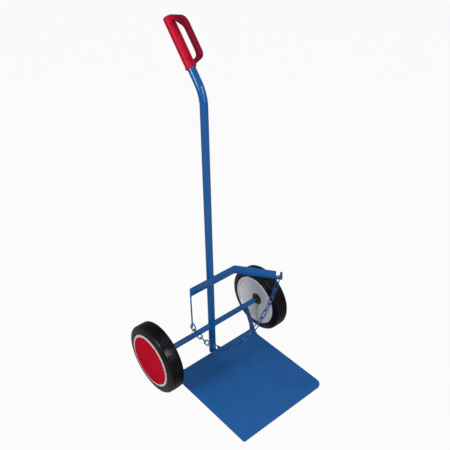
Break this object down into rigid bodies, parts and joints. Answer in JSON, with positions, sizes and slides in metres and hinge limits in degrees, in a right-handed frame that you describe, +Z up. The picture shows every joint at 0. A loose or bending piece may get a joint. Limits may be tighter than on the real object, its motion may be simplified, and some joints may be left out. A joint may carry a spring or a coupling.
{
  "type": "gas cylinder cart",
  "caption": "Two-wheeled hand cart for a gas cylinder: bent tube mast with a guarded grip, flat toe plate, cradle bar with a retaining chain.",
  "frame": {"origin": "on the floor under the middle of the axle", "axes": "+Z up along the mast, +X along the axle to the side with the open chain hook, -Y to the front over the toe plate"},
  "size_m": [0.542, 0.5427, 1.2036],
  "materials": {
    "frame_paint": "semi-gloss",
    "chain_paint": "semi-gloss",
    "grip_plastic": "satin",
    "tyre_rubber": "matte",
    "rim_plastic": "satin",
    "cap_plastic": "gloss",
    "bush_nylon": "satin",
    "plated_steel": "satin"
  },
  "bodies": {
    "frame": {"mast_tube": "frame_paint", "hand_grip": "grip_plastic", "toe_plate": "frame_paint", "left_axle": "frame_paint", "right_axle": "frame_paint", "left_stay": "frame_paint", "right_stay": "frame_paint", "cradle_bar": "frame_paint", "left_washer": "plated_steel", "right_washer": "plated_steel", "left_retainer": "plated_steel", "right_retainer": "plated_steel", "left_end_link": "chain_paint", "right_end_link": "chain_paint"},
    "left_wheel": {"left_tyre": "tyre_rubber", "left_rim": "rim_plastic", "left_hub_bush": "bush_nylon", "left_hub_cap": "cap_plastic"},
    "right_wheel": {"right_tyre": "tyre_rubber", "right_rim": "rim_plastic", "right_hub_bush": "bush_nylon", "right_hub_cap": "cap_plastic"},
    "chain": {"chain_link_01": "chain_paint", "chain_link_02": "chain_paint", "chain_link_03": "chain_paint", "chain_link_04": "chain_paint", "chain_link_05": "chain_paint", "chain_link_06": "chain_paint", "chain_link_07": "chain_paint", "chain_link_08": "chain_paint", "chain_link_09": "chain_paint", "chain_link_10": "chain_paint", "chain_link_11": "chain_paint", "chain_link_12": "chain_paint", "chain_link_13": "chain_paint", "chain_link_14": "chain_paint", "chain_link_15": "chain_paint", "chain_link_16": "chain_paint", "chain_link_17": "chain_paint", "chain_link_18": "chain_paint", "chain_link_19": "chain_paint"}
  },
  "joints": [
    {"name": "left_wheel_spin", "type": "hinge", "parent": "frame", "child": "left_wheel", "pos_m": [-0.2395, 0, 0.125], "axis": [1, 0, 0], "continuous": true},
    {"name": "right_wheel_spin", "type": "hinge", "parent": "frame", "child": "right_wheel", "pos_m": [0.2395, 0, 0.125], "axis": [1, 0, 0], "continuous": true},
    {"name": "chain_swing", "type": "hinge", "parent": "frame", "child": "chain", "pos_m": [0.00662, -0.13979, 0.30264], "axis": [-0.9997, 0.0199, -0.0137], "range_deg": [-40, 65]}
  ]
}
